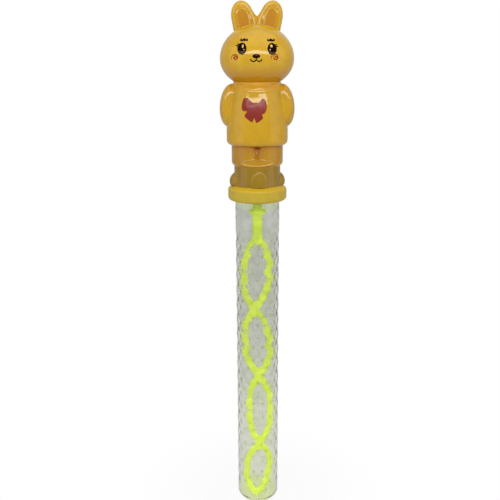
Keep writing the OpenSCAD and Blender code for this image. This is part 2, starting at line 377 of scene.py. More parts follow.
def clear_colour(tree):
    """Clear plastic, greyer above and a little greener below, where a film of liquid still lies on it. Lime
    at the very foot is a painted reflection of the wand's tip, dark olive flecks in many of the dimples are
    painted shading for the dark specks that the dimples show, and lime streaks just under the collar are a
    painted reflection of the lime wand."""
    up = along(tree, "Z")
    film = noise(tree, 6, 3).step(0.35, 0.7)
    above = mixed(film, (0.695, 0.705, 0.665, 1), (0.625, 0.64, 0.59, 1))
    below = mixed(film, (0.83, 0.835, 0.78, 1), (0.76, 0.79, 0.69, 1))
    # Painted reflection: lime at the very foot, where the wand's tip shows through.
    foot = (0.76, 0.84, 0.44, 1)
    wall = mixed(up.step(30.0, 170.0), mixed(up.step(2.0, 9.0), foot, below), above)
    hollow = make(tree, "ShaderNodeAttribute", {"attribute_name": "painted_light"}, output="Fac")
    # Painted shading: dark olive flecks in the dimples, standing for the dark specks that the dimples show.
    painted_dimple_flecks = hollow.step(0.55, 0.9) * noise(tree, 3, 2).step(0.4, 0.6) * 0.8
    # Painted reflection: lime streaks just under the collar, where the lime wand shows through.
    painted_wand_reflection = noise(tree, 2.0, 3).step(0.46, 0.58) * up.step(231.5, 234.5)
    return mixed(painted_wand_reflection, mixed(painted_dimple_flecks, wall, (0.43, 0.51, 0.19, 1)), (0.70, 0.82, 0.36, 1))


def clear_roughness(tree):
    """Nearly polished, with faint rougher patches where liquid has dried."""
    return noise(tree, 4, 4).step(0.3, 0.9) * 0.08 + 0.03


def let_light_in(material, share):
    """Lets a share of the lamps' light through clear plastic, so that it hardly shades what is behind it."""
    tree = material.node_tree
    shader = tree.nodes["Principled BSDF"]
    lamp_ray = make(tree, "ShaderNodeLightPath", {}, output="Is Shadow Ray")
    clear = make(tree, "ShaderNodeBsdfTransparent", {})
    look = make(tree, "ShaderNodeMixShader", {}, lamp_ray * share, Field(tree, shader.outputs[0]), clear)
    tree.links.new(look.socket, tree.nodes["Material Output"].inputs[0])
    return material


clear_plastic = finish("clear_plastic", clear_colour, clear_roughness, grain=(1.3, 105),
                       Transmission_Weight=1.0, IOR=1.47)
tube.data.materials.append(let_light_in(clear_plastic, 0.85))
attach(tube, "bottle")
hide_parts("bottle_tube")

# The thread on the neck: a ridge that winds once and a bit round the wall below the rim. The collar hides it
# until the wand is drawn out.
thread_pitch = 4.0
ridge_height = 1.2
ridge_foot = 1.7
ridge_crest = 0.7
neck_arc = 400


def closing(points, row):
    """A row of points that all lie at the middle of the given row, which closes that end of a piece."""
    return np.repeat(points[[row]].mean(axis=1, keepdims=True), points.shape[1], axis=1)


def ridge_points(radius, side, start, low, arc_degrees, count):
    """A helical ridge: a trapezium carried round the wall, one pitch up a turn, that sinks in at both ends
    and closes there. side is 1 on the outside of a wall and -1 on the inside of a bore."""
    turn = np.linspace(0, arc_degrees, count)
    rise = np.minimum(turn, arc_degrees - turn) / 40
    tall = np.minimum(ridge_height, (ridge_height + 0.25) * rise - 0.25)
    section = [(-0.5, -ridge_foot / 2, 0), (0, -ridge_crest / 2 - 0.1, 0.9), (0, -ridge_crest / 2, 1),
               (0, ridge_crest / 2, 1), (0, ridge_crest / 2 + 0.1, 0.9), (-0.5, ridge_foot / 2, 0)]
    angle = np.radians(turn + start)
    rows = []
    for sunk, z, share in section:
        r = radius + side * (sunk + share * tall)
        rows.append(np.stack([r * np.cos(angle), r * np.sin(angle), low + thread_pitch * turn / 360 + z], -1))
    points = np.stack(rows, axis=1)
    return np.concatenate([closing(points, 0), points, closing(points, -1)])


rim_to_thread = 1.1
neck_low = tube_height - rim_to_thread - thread_pitch * neck_arc / 360
neck_thread = put_shells("neck_thread", [
    ridge_points(tube_radius, side=1, start=0, low=neck_low, arc_degrees=neck_arc, count=160)])
neck_thread.data.materials.append(clear_plastic)
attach(neck_thread, "bottle")

# The wand: one lime moulding. A round plug sits in the collar, a flange sheds the liquid, and below the stem
# two ribbed strands cross again and again to make four loops, with a small web in each crossing.
stem_width = 7.0
wand_thickness = 3.6
strand_width = 5.0
loop_count = 4
fork_height = 212.0
loop_length = 53.87
tip_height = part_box("wand")[0][2] / MM
loop_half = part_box("wand")[1][0] / MM
flange_low = 228.0
flange_thick = 2.2
plug_radius = 3.0
plug_low = 241.2
plug_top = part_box("wand")[1][2] / MM
rib_pitch = 2.3
rib_height = 0.25
slimmer_from = 110.0
slimmer_over = 30.0
slimmer_share = 0.12
sway_aside = ((214, 0.0), (158, -1.4), (100, 1.4), (50, 1.6), (3, -1.6))
sway_forward = ((214, 0.0), (158, 1.6), (100, 2.4), (50, 6.6), (26, 5.8), (3, 7.0))
sway_down = ((214, 0.0), (158, 1.9), (100, 0.8), (50, 1.6), (3, 0.0))
loop_shares = (1.0, 1.0, 0.86, 0.94)


def strand(z, side):
    """How far a strand is from the middle at height z: in each loop it swings out as a sine that is fuller
    than a sine near the crossings, and rounder still where the last loop ends. The soft lower loops are
    a little narrower."""
    share = (fork_height - z) / loop_length
    index = np.clip(np.floor(share), 0, loop_count - 1)
    last = (fork_height - (loop_count - 1) * loop_length - tip_height - strand_width / 2) / loop_length
    inside_loop = share - index
    inside_loop = np.where(index == loop_count - 1, inside_loop / last, inside_loop)
    wave = np.sin(np.pi * np.clip(inside_loop, 0, 1))
    crossing = wave * (1.45 - 0.45 * wave ** 2)
    rounded = wave ** 0.55
    closed = (index == loop_count - 1) & (inside_loop > 0.5)
    reach = np.where(closed, rounded, crossing) * (loop_half - strand_width / 2 - rib_height)
    reach = reach * np.take(loop_shares, index.astype(int))
    return side * (1 - 2 * (index % 2)) * reach


def ease(share):
    """Rises smoothly from 0 to 1 as share does, and is level beyond."""
    share = np.clip(share, 0, 1)
    return share * share * (3 - 2 * share)


def sway(z, places):
    """How far the soft wand bends or stretches at height z, eased from each of a few places to the next."""
    total = 0 * z
    for (high, before), (low, after) in zip(places, places[1:]):
        total = total + (after - before) * ease((high - z) / (high - low))
    return total


def spaced(path, count, closed=False):
    """count points at equal distances along a path of points, and how far along each lies. The end of a
    closed path is its start, so it is left out."""
    steps = np.linalg.norm(np.diff(path, axis=0), axis=1)
    travelled = np.concatenate([[0], np.cumsum(steps)])
    wanted = np.linspace(0, travelled[-1], count, endpoint=not closed)
    return np.stack([np.interp(wanted, travelled, path[:, i]) for i in (0, 1)], axis=-1), wanted


route_count = 1400
second_strand_share = 0.985
bottom = tip_height + strand_width / 2
swing = (1 - np.cos(np.pi * np.linspace(0, 1, 6000))) / 2
down = fork_height - swing * (fork_height - bottom)
upward = down[::-1]
path = np.concatenate([np.stack([strand(down, -1), down], -1), np.stack([strand(upward, 1), upward], -1)])
route, travelled = spaced(path, route_count, closed=True)
tangent = np.roll(route, -2, axis=0) - np.roll(route, 2, axis=0)
tangent /= np.linalg.norm(tangent, axis=1, keepdims=True)
normal = np.stack([-tangent[:, 1], tangent[:, 0]], axis=-1)
section_count = 24
section_angle = np.linspace(0, 2 * np.pi, section_count, endpoint=False)
rounded_cos = np.sign(np.cos(section_angle)) * np.abs(np.cos(section_angle)) ** 0.55
rounded_sin = np.sign(np.sin(section_angle)) * np.abs(np.sin(section_angle)) ** 0.55
half_width = strand_width / 2 * (1 - slimmer_share * ease((slimmer_from - route[:, 1]) / slimmer_over))
half_width = half_width + rib_height * np.cos(2 * np.pi * travelled / rib_pitch)
# The second strand is a little thinner, so that no two faces lie in one plane where the strands cross.
thinner = np.where(np.arange(route_count) < route_count / 2, 1, second_strand_share)
across = half_width[:, None] * rounded_cos[None, :]
loops_y = wand_thickness / 2 * thinner[:, None] * rounded_sin[None, :]
loops_z = route[:, 1:]
loops_points = np.stack([
    route[:, :1] + sway(loops_z, sway_aside) + normal[:, :1] * across,
    loops_y - sway(loops_z, sway_forward) + 0 * across,
    loops_z - sway(loops_z, sway_down) + normal[:, 1:] * across], axis=-1)
# The first row comes again at the end, which closes the ring that the loops make.
plates = [np.concatenate([loops_points, loops_points[:1]])]


def slab(heights, half_widths, thickness):
    """A flat bar with rounded edges and closed ends, from its half width at each of its heights."""
    heights = np.asarray(heights, float)[:, None]
    half_widths = np.asarray(half_widths, float)[:, None]
    points = np.stack([half_widths * rounded_cos[None, :],
                       thickness / 2 * rounded_sin[None, :] * np.ones_like(heights),
                       heights * np.ones((1, section_count))], axis=-1)
    return np.concatenate([closing(points, 0), points, closing(points, -1)])


web_half_height = 5.6
web_half_width = 3.4
web_thickness = wand_thickness * 0.96
web_angle = np.radians(np.linspace(-88, 88, 24))
stem_heights = np.linspace(fork_height - 3, flange_low + 0.5, 12)
plates.append(slab(stem_heights, np.full(12, stem_width / 2), wand_thickness))
for crossing in range(loop_count):
    middle = fork_height - crossing * loop_length - (1.0 if crossing == 0 else 0)
    web = slab(middle + web_half_height * np.sin(web_angle),
               web_half_width * np.cos(web_angle) ** 0.8, web_thickness)
    web_z = web[..., 2]
    bend = [sway(web_z, sway_aside), -sway(web_z, sway_forward), -sway(web_z, sway_down)]
    plates.append(web + np.stack(bend, axis=-1))
flange_radius = 6.0
stem_profile = np.concatenate([
    [[0, flange_low]], arc(flange_radius - 0.5, flange_low + 0.5, 0.5, -90, 0, 5),
    arc(flange_radius - 0.5, flange_low + flange_thick - 0.5, 0.5, 0, 90, 5),
    arc(stem_width / 2 + 0.6, flange_low + flange_thick + 0.6, 0.6, 270, 180, 5),
    [[stem_width / 2, plug_low], [plug_radius, plug_low]],
    arc(plug_radius - 0.5, plug_top - 0.5, 0.5, 0, 90, 5), [[0, plug_top]]])
plates.append(turned(stem_profile, columns=48))
wand = put_shells("dipping_wand", plates)


def rgb(red, green, blue):
    """The linear colour of three sRGB values from 0 to 255."""
    def linear(value):
        value = value / 255
        return value / 12.92 if value <= 0.04045 else ((value + 0.055) / 1.055) ** 2.4
    return (linear(red), linear(green), linear(blue), 1.0)


def lime_colour(tree):
    """Lime plastic, a little deeper in patches."""
    return mixed(noise(tree, 6, 2).step(0.3, 0.75), rgb(228, 248, 84), rgb(214, 238, 64))


# The lime plastic glows faintly though it is no lamp: painted light that makes up for the light the clear
# tube holds back.
wand.data.materials.append(finish("lime_plastic_painted_glow", lime_colour, lambda tree: noise(tree, 2, 3) * 0.15 + 0.3,
                                  grain=(0.8, 30), Emission_Color=rgb(222, 242, 34), Emission_Strength=0.26))
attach(wand, "wand")
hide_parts("wand")

# The sealing washer: a foam ring that lies on the rim of the tube, hidden by the collar until the wand is
# out. It is die cut, so its faces are flat and its finish is matte.


def foam_colour(tree):
    """White foam, mottled a little grey: painted shading in its pores."""
    return mixed(noise(tree, 0.4, 2).step(0.35, 0.6), rgb(205, 205, 198), rgb(238, 238, 232))


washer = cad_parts["sealing_washer"]
washer.data.materials.clear()
washer.data.materials.append(finish("washer_foam", foam_colour, 0.85, Specular_IOR_Level=0.3))

# The collar: a moulded screw cap with a plain side, a sloping shoulder and a rounded lower edge. A web across
# it presses the washer on the rim, a spigot above holds the figure, and a boss holds the wand's plug.
collar_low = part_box("screw_collar")[0][2] / MM
spigot_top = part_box("screw_collar")[1][2] / MM
collar_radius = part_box("screw_collar")[1][0] / MM
ledge = 248.5
web_low = 246.2
thread_root = 17.1
collar_edge = 2.4
shoulder_height = 3.0
waist_radius = 16.0
spigot_radius = 14.75
spigot_wall = 1.4
boss_radius = 4.85
boss_low = 241.2
boss_top = 257.5
socket_radius = 3.05
socket_top = 255.7
collar_arc = 300
collar_ridge_low = 239.7
collar_ridge_start = 201.96


def ringed(points, spacing):
    """A profile resampled at even steps no longer than spacing, with its corners slightly rounded."""
    points = np.asarray(points, float)
    length = np.linalg.norm(np.diff(points, axis=0), axis=1).sum()
    soft, _ = spaced(points, int(length / spacing) + 2)
    for _ in range(2):
        soft[1:-1] = (soft[:-2] + 2 * soft[1:-1] + soft[2:]) / 4
    return soft


shoulder_round = 1.5
collar_profile = ringed(np.concatenate([
    [[thread_root, web_low], [thread_root, collar_low + 0.4], [thread_root + 0.4, collar_low]],
    arc(collar_radius - collar_edge, collar_low + collar_edge, collar_edge, -90, 0, 14),
    arc(collar_radius - shoulder_round, ledge - shoulder_height, shoulder_round, 0, 60, 8),
    [[waist_radius + 0.5, ledge], [spigot_radius, ledge], [spigot_radius, spigot_top - 0.4],
     [spigot_radius - 0.4, spigot_top], [spigot_radius - spigot_wall, spigot_top],
     [spigot_radius - spigot_wall, ledge], [boss_radius, ledge], [boss_radius, boss_top], [0, boss_top]]]),
    0.3)
under_profile = np.array([
    [0, socket_top], [socket_radius, socket_top], [socket_radius, boss_low], [boss_radius, boss_low],
    [boss_radius, web_low], [thread_root, web_low]])
collar_rings = np.concatenate([under_profile, collar_profile[1:]])
collar = put_shells("screw_collar_shell", [turned(collar_rings, columns=160)])


def collar_colour(tree):
    """Olive yellow on the side and a clearer, lighter yellow on the shoulder: painted light where the
    shoulder faces the lamps above.
    """
    painted_lit_shoulder = along(tree, "Z").step(245.3, 246.5)
    worn = noise(tree, 5, 3).step(0.3, 0.8)
    return mixed(painted_lit_shoulder, mixed(worn, rgb(196, 168, 46), rgb(187, 162, 40)), rgb(210, 173, 32))


collar_plastic = finish("collar_plastic", collar_colour, lambda tree: noise(tree, 3, 3) * 0.1 + 0.36,
                        grain=(1.5, 25), Specular_IOR_Level=0.4)
collar.data.materials.append(collar_plastic)
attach(collar, "cap")
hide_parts("screw_collar")

collar_thread = put_shells("collar_thread", [
    ridge_points(thread_root, side=-1, start=collar_ridge_start, low=collar_ridge_low,
                 arc_degrees=collar_arc, count=120)])
collar_thread.data.materials.append(collar_plastic)
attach(collar_thread, "cap")

# The rabbit's body: one blow-moulded shell of glossy yellow plastic, pushed over the collar's spigot. From
# below it has a waist with four balls, of which the front and the back one are low arches, legs with a groove
# between them, a coat that narrows to a neckline, and two arms.
legs_low = 262.0
hem = 276.3
coat_top = 316.3
neck_top = 318.3
legs_radius = 17.7
legs_round = 3.0
legs_front = 16.9
groove_depth = 3.11
pad_height = 265.4
pad_half = (10.2, 2.2)
pad_rim = 0.5
coat_radius = 21.0
hem_round = 3.4
hem_height = 10.0
neckline_radius = 16.4
coat_belly = 0.8
neckline_low = 313.0
neckline_rise = 2.3
neckline_depth = 0.5
neckline_rim = 0.28
neckline_half_width = 13.0
fold_depth = 0.36
fold_middle = (-2.5, 304.6)
fold_half_width = 4.2
fold_step = 4.6
fold_fade = 5.5
lobe_radius = 7.2
lobe_centre = 12.2
lobe_height = 251.0
lobe_turn = 5.0
arch_half = (6.0, 9.2)
arch_foot = 250.0
arch_step = 0.45
arch_bulge = 1.2
arm_centre = (18.3, 0.0, 302.8)
arm_half = (7.1, 11.0, 14.3)
arm_flat = 9.0
arm_slope = 0.11
arm_lean = 6.2


def smooth_max(a, b, blend):
    """The larger of a and b, with a fillet blend wide where they cross."""
    h = np.clip(blend - np.abs(a - b), 0, None)
    return np.maximum(a, b) + h * h / (4 * blend)


def smooth_min(a, b, blend):
    """The smaller of a and b, with a round blend wide where they cross."""
    return -smooth_max(-a, -b, blend)


def ball_reach(angle, z, centre, half, lean=0.0):
    """How far out a level ray from the axis leaves an ellipsoid: the larger root of a quadratic, or 0 for a
    ray that misses it. The ellipsoid leans about Y by lean degrees."""
    c, s = math.cos(math.radians(lean)), math.sin(math.radians(lean))
    dx, dy = np.cos(angle), np.sin(angle)
    px, py, pz = -centre[0], -centre[1], z - centre[2]
    ax, bx = (c * dx + 0 * z) / half[0], (c * px - s * pz) / half[0]
    ay, by = (dy + 0 * z) / half[1], (py + 0 * z) / half[1]
    az, bz = (s * dx + 0 * z) / half[2], (s * px + c * pz) / half[2]
    a = ax * ax + ay * ay + az * az
    b = ax * bx + ay * by + az * bz
    k = bx * bx + by * by + bz * bz - 1
    inside = b * b - a * k
    return np.where(inside > 0, (-b + np.sqrt(np.clip(inside, 0, None))) / a, 0)


slope = coat_radius - neckline_radius
coat_rise = coat_top - hem - hem_height
body_profile = ringed(np.concatenate([
    [[waist_radius, ledge], [waist_radius, legs_low + 0.3]],
    arc(legs_radius - legs_round, legs_low + legs_round, legs_round, -64, 0, 12),
    [[legs_radius, hem], [coat_radius - hem_round + 0.4, hem]],
    arc(coat_radius - hem_round, hem + hem_round, hem_round, -80, 0, 14),
    [[coat_radius - slope * share + coat_belly * math.sin(math.pi * share),
      hem + hem_height + coat_rise * share] for share in np.linspace(0, 1, 13)],
    [[neckline_radius, coat_top + 0.4], [neckline_radius - 0.5, neck_top]]]), 0.25)


def neckline(x):
    """The height of the neckline's lower edge at x: a parabola that is lowest in the middle."""
    return neckline_low + neckline_rise * (x / neckline_half_width) ** 2


def chest_fold(angle, z):
    """The step of a low, uneven fold in the coat just above the bow. It fades out upward and to the sides."""
    x = neckline_radius * np.cos(angle)
    uneven = z + 0.5 * np.sin(13 * angle) + 0.3 * np.sin(29 * angle)
    fades = np.exp(-((x - fold_middle[0]) / fold_half_width) ** 2) * ease(-2 * np.sin(angle))
    step = ease((uneven - fold_middle[1]) / fold_step + 0.5)
    return -fold_depth * step * ease((neckline_low - z) / fold_fade) * fades


def with_legs(angle, z, radius):
    """The radius with the legs' flat front and back, the groove between the legs and the oval pad below it.
    A flat is a plane, so its reach is its distance over the cosine of the angle from its middle."""
    front = np.abs((angle + np.pi) % np.pi - np.pi / 2)
    flat = legs_front / np.cos(np.clip(front, 0, 1.3)) + 0.6 * np.sin(np.clip(front, 0, 1.0) * np.pi) ** 2
    deep = groove_depth * (0.7 + 0.45 * ease((z - 270) / 6))
    groove = (legs_front - deep) / np.clip(np.cos(front) - 0.8 * np.sin(front), 0.1, None)
    groove = groove + 6 * ease((pad_height + pad_half[1] + 1.2 - z) / 1.6)
    legs = smooth_min(smooth_min(radius, flat, 0.6), groove, 1.2)
    at_legs = np.clip((z - legs_low - 0.8) / 1.2, 0, 1) * np.clip((hem - z + 0.2) / 0.4, 0, 1)
    result = radius + (np.maximum(legs, waist_radius * (z < legs_low + 2.4)) - radius) * at_legs
    around = np.abs(np.hypot(result * np.cos(angle) / pad_half[0], (z - pad_height) / pad_half[1]) - 1)
    facing = np.sin(angle) < 0
    return result + pad_rim * np.clip(1 - (around * 4.0) ** 2, 0, 1) ** 2 * facing


def with_balls(angle, z, radius):
    """The radius with a ball at each side of the waist, and a low arch with a stepped edge in front and
    behind."""
    for turn in range(4):
        there = math.radians(lobe_turn + 90 * turn)
        if turn % 2 == 0:
            centre = (lobe_centre * math.cos(there), lobe_centre * math.sin(there), lobe_height)
            ball = ball_reach(angle, z, centre, (lobe_radius, lobe_radius, lobe_radius))
            radius = smooth_max(radius, ball, 0.3)
        else:
            off = (angle - there + np.pi) % (2 * np.pi) - np.pi
            inward = 1 - np.hypot(off * waist_radius / arch_half[0], (z - arch_foot) / arch_half[1])
            dome = arch_step * ease(inward / 0.10) + arch_bulge * np.sqrt(np.clip(inward, 0, 1))
            radius = radius + dome * (z < legs_low)
    return radius


def with_arms(angle, z, radius):
    """The radius with an arm at each side: a leaning ellipsoid cut flat in front and behind."""
    for side in (-1, 1):
        centre = (side * arm_centre[0], arm_centre[1], arm_centre[2])
        arm_front = arm_flat - arm_slope * (z - arm_centre[2])
        arm_front = arm_front / np.clip(np.abs(np.sin(angle)), 0.05, None)
        arm = smooth_min(ball_reach(angle, z, centre, arm_half, -side * arm_lean), arm_front, 2.4)
        radius = smooth_max(radius, arm, 0.6)
    return radius


def body_reach(angle, z):
    """What the legs, the balls and the arms change of the profile's radius, with the scoop of the neckline
    between its two rims, and the fold on the chest where no arm covers it."""
    radius = np.repeat(body_profile[:, :1], len(angle[0]), axis=1)
    result = with_arms(angle, z, with_balls(angle, z, with_legs(angle, z, radius)))
    edge = neckline(np.cos(angle) * neckline_radius)
    upright = 1.9 - 1.3 * np.clip((z - edge) / (coat_top - neckline_low), 0, 1)
    scoop = upright * ease((z - edge) / 0.6 + 0.5) * ease((coat_top + 0.6 - z) / 0.6)
    low_rim = np.clip(1 - ((z - edge + 0.8) / 1.2) ** 4, 0, 1)
    high_rim = 0.6 * np.clip(1 - ((z - coat_top - 0.5) / 0.5) ** 2, 0, 1)
    fades = np.clip(1.3 - (np.cos(angle) * neckline_radius / 13.6) ** 4, 0, 1)
    chest = chest_fold(angle, z) * (result < radius + 0.05)
    return (result - radius + chest
            + (neckline_rim * (low_rim + high_rim) - neckline_depth * scoop) * fades)


# Below, the figure is seated over the spigot, and the seat is closed above it.
seat_radius = spigot_radius + 0.05
seat_top = legs_low - 1.2
base_profile = np.array([[0, seat_top], [seat_radius, seat_top], [seat_radius, ledge]])
body_rings = np.concatenate([base_profile, body_profile, [[0, neck_top]]])
outer_rows = slice(len(base_profile), len(base_profile) + len(body_profile))


def body_offset(angle, z):
    """Only the outside carries the relief."""
    offset = np.zeros(z.shape)
    offset[outer_rows] = body_reach(angle, z[outer_rows])
    return offset


def body_painted_light(points):
    """How much painted shading darkens the colour, under the hem, in the fork of the legs and in the scoop,
    less
    how much painted highlights lighten it: on the lip and the top of the scoop, round the pad and round the
    arch."""
    x, y, z = points[..., 0], points[..., 1], points[..., 2]
    at_legs = (z < hem + 0.6) & (z > legs_low)
    # Painted shading under the hem, in the fork of the legs and in the scoop.
    under_hem = 0.6 * ease((z - hem + 2.6) / 2.6) * at_legs
    fork_half_width = 1.0 + 0.45 * np.clip(z - 267, 0, 9)
    fork = 0.65 * ease((z - 266.5) / 8) * np.exp(-(x / fork_half_width) ** 2) * at_legs
    edge = neckline(x)
    scoop = 0.10 * ease((z - edge) / 1.0) * (np.abs(x) < 13.5)
    wavy = edge + 0.1 + 0.7 * np.exp(-((x - 1.5) / 3) ** 2)
    # Painted highlights: the lip and the top of the scoop, the pad's rim and the arch's outline.
    lip = (0.25 + 0.6 * np.exp(-(x / 4.5) ** 2)) * np.exp(-((z - wavy) / 0.42) ** 2) * (np.abs(x) < 12.5)
    top_line = 0.3 * np.exp(-((z - coat_top - 0.5) / 0.4) ** 2) * ease((11 - np.abs(x)) / 3)
    round_pad = np.hypot(x / pad_half[0], (z - pad_height) / pad_half[1]) - 1
    pad = np.exp(-(round_pad / 0.12) ** 2) * (0.08 + 0.27 * ease((pad_height - z) / 1.5)) * at_legs
    arch_x = waist_radius * math.sin(math.radians(lobe_turn))
    round_arch = np.hypot((x - arch_x) / arch_half[0], (z - arch_foot) / arch_half[1]) - 0.97
    arch = 0.16 * np.exp(-(round_arch / 0.05) ** 2) * ease((z - 250) / 9) * (z < legs_low)
    pale = np.maximum.reduce([lip, top_line, pad, arch]) * (y < 0)
    return np.maximum.reduce([under_hem, fork, scoop]) - pale


body_points = turned(body_rings, columns=320, reach=body_offset)
body = put_shells("rabbit_body", [body_points], painted_light=body_painted_light(body_points))


def rabbit_colour(tree):
    """Golden yellow with painted shading on the legs, under the coat, and under the chin, and darkest and
    greener at the hollow waist, where the thin wall lets the dark inside through. Soft clouds of paler and
    browner yellow vary it. The attribute adds painted shading in creases and recesses and painted highlights
    on rims."""
    up = along(tree, "Z")
    cloud = noise(tree, 9, 3).step(0.3, 0.7)
    head = mixed(cloud, rgb(213, 167, 26), rgb(205, 159, 18))
    coat = mixed(cloud, rgb(205, 159, 18), rgb(197, 150, 12))
    neck = mixed(cloud, rgb(214, 158, 18), rgb(206, 150, 13))
    # The legs are darker than the coat: painted shading under the coat.
    legs = mixed(cloud, rgb(188, 138, 12), rgb(178, 127, 8))
    waist = mixed(cloud, rgb(156, 122, 10), rgb(147, 113, 8))
    low = mixed(up.step(261.4, 263.0), waist, legs)
    middle = mixed(up.step(274.5, 278.5), low, coat)
    upper = mixed(up.step(311.0, 315.0), middle, neck)
    # Painted shading under the chin, where the head meets the neck.
    upper = mixed(up.step(317.5, 318.5), upper, rgb(194, 135, 5))
    # Above 0 the attribute mixes in painted shading, below 0 painted highlights.
    painted_light = make(tree, "ShaderNodeAttribute", {"attribute_name": "painted_light"}, output="Fac")
    with_painted_shading = mixed(painted_light.larger(0.0), mixed(up.step(320.0, 330.0), upper, head), rgb(176, 95, 2))
    return mixed((0.0 - painted_light).larger(0.0), with_painted_shading, rgb(250, 218, 134))


def rabbit_roughness(tree):
    """Glossy in front, with faint orange peel, and duller round the sides and the back below the ears."""
    duller = along(tree, "Y").step(-9.0, 3.0) * (1 - along(tree, "Z").step(350.0, 354.0))
    return noise(tree, 2.5, 2) * 0.06 + 0.08 + duller * 0.3


rabbit_plastic = finish("rabbit_plastic", rabbit_colour, rabbit_roughness, grain=(2.4, 38),
                        Specular_IOR_Level=0.5)
body.data.materials.append(rabbit_plastic)
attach(body, "cap")
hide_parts("figure_handle")

# The rabbit's head: a wide hollow ball, a little flatter below than above, moulded in one with the body and
# the ears out of the same glossy yellow plastic.
head_middle = 333.1
head_radius = 24.8
head_up = 22.0
head_down = 19.0

lowest = -math.degrees(math.asin((head_middle - neck_top + 0.6) / head_down))
fall = np.radians(np.linspace(lowest, 90, 150))
head_profile = np.stack([head_radius * np.cos(fall),
                         head_middle + np.where(fall < 0, head_down, head_up) * np.sin(fall)], axis=-1)
head_profile[-1, 0] = 0
head_rings = np.concatenate([[[0, head_profile[0, 1]]], head_profile])
head = put_shells("rabbit_head", [turned(head_rings, columns=224)])
head.data.materials.append(rabbit_plastic)
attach(head, "cap")

# The ears: flat paddles with a round rim, a step inside the rim and a deeper panel, as one moulding with the
# crown between them, which fills the bottom of the V.
ear_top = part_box("figure_handle")[1][2] / MM
ear_radius = 7.5
ear_end = 10.5
ear_half_depth = 4.2
ear_lean = math.radians(11.0)
ear_centre = (9.5, 2.5, ear_top - math.hypot(ear_end * math.cos(ear_lean), ear_radius * math.sin(ear_lean)))
ear_foot = 15.5
steps_in = ((0.27, 0.45), (0.56, 0.45))
bead = 0.25
# How much painted shading darkens the ears' steps and panel and the foot toward the V, and how much the lips
# are lightened as painted highlights.
ear_step_painted_shading = 0.26
ear_foot_painted_shading = 0.2
ear_lip_painted_highlight = 0.6
panel_depth = 2.9
ear_flare = 1.4
crown_height = 27.3
crown_half_depth = 2.8


def ear_points(side, rows=170, columns=144):
    """A paddle and the light painted on it: an ellipse carried up a leaning line, that ends in a half
    ellipsoid.
    On its front two steps go down, each a given share of the way in from the edge, with a bead along each
    lip.
    Toward the other ear it flares, so that a V is left between them. Painted shading darkens the steps, the
    panel and the foot toward the V, and painted highlights lighten the lips."""
    straight = np.linspace(-ear_foot, 0, rows // 2, endpoint=False)
    lift = np.linspace(0, np.pi / 2, rows - rows // 2)
    climb = np.concatenate([straight, ear_end * np.sin(lift)])[:, None]
    size = np.concatenate([np.ones(rows // 2), np.cos(lift)])[:, None]
    size[-1] = 0
    around = np.linspace(0, 2 * np.pi, columns, endpoint=False)[None, :]
    x = ear_radius * size * np.cos(around)
    y = ear_half_depth * size * np.sin(around)
    inward = 1 - np.hypot(x / ear_radius, np.clip(climb, 0, None) / ear_end)
    facing = np.clip(-np.sin(around) * 4, 0, 1) * (size > 0)
    toward_middle = ease(0.3 - 1.3 * side * x / ear_radius)
    # deeper collects the painted light: painted shading in the steps and toward the V, less painted
    # highlights on the lips.
    deeper = 0 * y
    for start, depth in steps_in:
        y = y + depth * ease((inward - start + 0.03) / 0.06) * facing
        lip = np.clip(1 - ((inward - start + 0.05) / 0.05) ** 2, 0, 1) * facing * toward_middle
        y = y - bead * lip
        deeper = deeper + ear_step_painted_shading * ease((inward - start) / 0.08) * facing - ear_lip_painted_highlight * lip
    level = ease((inward - steps_in[1][0] + 0.03) / 0.06) * facing
    y = y * (1 - level) - panel_depth * level
    flare = np.clip(ear_flare * np.clip((4 - climb) / 4.6, 0, None) ** 2, 0, 2.6)
    x = x - side * flare * np.clip(-side * np.cos(around), 0, 1) ** 3
    inner = ease(0.5 - side * x / ear_radius) * ease((5 - climb) / 9) * (1 - level)
    deeper = deeper + ear_foot_painted_shading * inner * (deeper >= 0)
    lean = ear_lean * side
    place = [side * ear_centre[0] + x * math.cos(lean) + climb * math.sin(lean),
             ear_centre[1] + y + 0 * x,
             ear_centre[2] - x * math.sin(lean) + climb * math.cos(lean)]
    return np.stack(place, axis=-1), deeper


for side, name in ((-1, "left_ear"), (1, "right_ear")):
    points, deeper = ear_points(side)
    ear = put_shells(name, [np.concatenate([closing(points, 0), points])],
                     painted_light=np.concatenate([0 * deeper[:1], deeper]))
    ear.data.materials.append(rabbit_plastic)
    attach(ear, "cap")

crown_rows = 60
crown_columns = 96
crown_turn = np.linspace(0, 2 * np.pi, crown_columns, endpoint=False)[None, :]
crown_rise = np.linspace(0, np.pi / 2, crown_rows)[:, None]
crown_size = np.cos(crown_rise)
crown_size[-1] = 0
crown_points = np.stack([
    ear_centre[0] * crown_size * np.cos(crown_turn),
    ear_centre[1] + crown_half_depth * crown_size * np.sin(crown_turn),
    head_middle + crown_height * np.sin(crown_rise) + 0 * crown_turn], axis=-1)
# The crown carries the same painted shading as the foot of the ears, at the bottom of the V.
crown = put_shells("crown", [np.concatenate([closing(crown_points, 0), crown_points])],
                   painted_light=np.full((crown_rows + 1, crown_columns), ear_foot_painted_shading))
crown.data.materials.append(rabbit_plastic)
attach(crown, "cap")

# The face: pad printed on the front of the head in black, grey, cream and rust ink. Each print is a thin film
# that follows the head, and the small lights of the eyes lie on top of the black.
film = 0.05


def head_front(x, z):
    """The distance of the head's front from the middle plane, at x and z."""
    tall = np.where(z > head_middle, head_up, head_down)
    share = 1 - ((z - head_middle) / tall) ** 2 - (x / head_radius) ** 2
    return head_radius * np.sqrt(np.clip(share, 0, None))


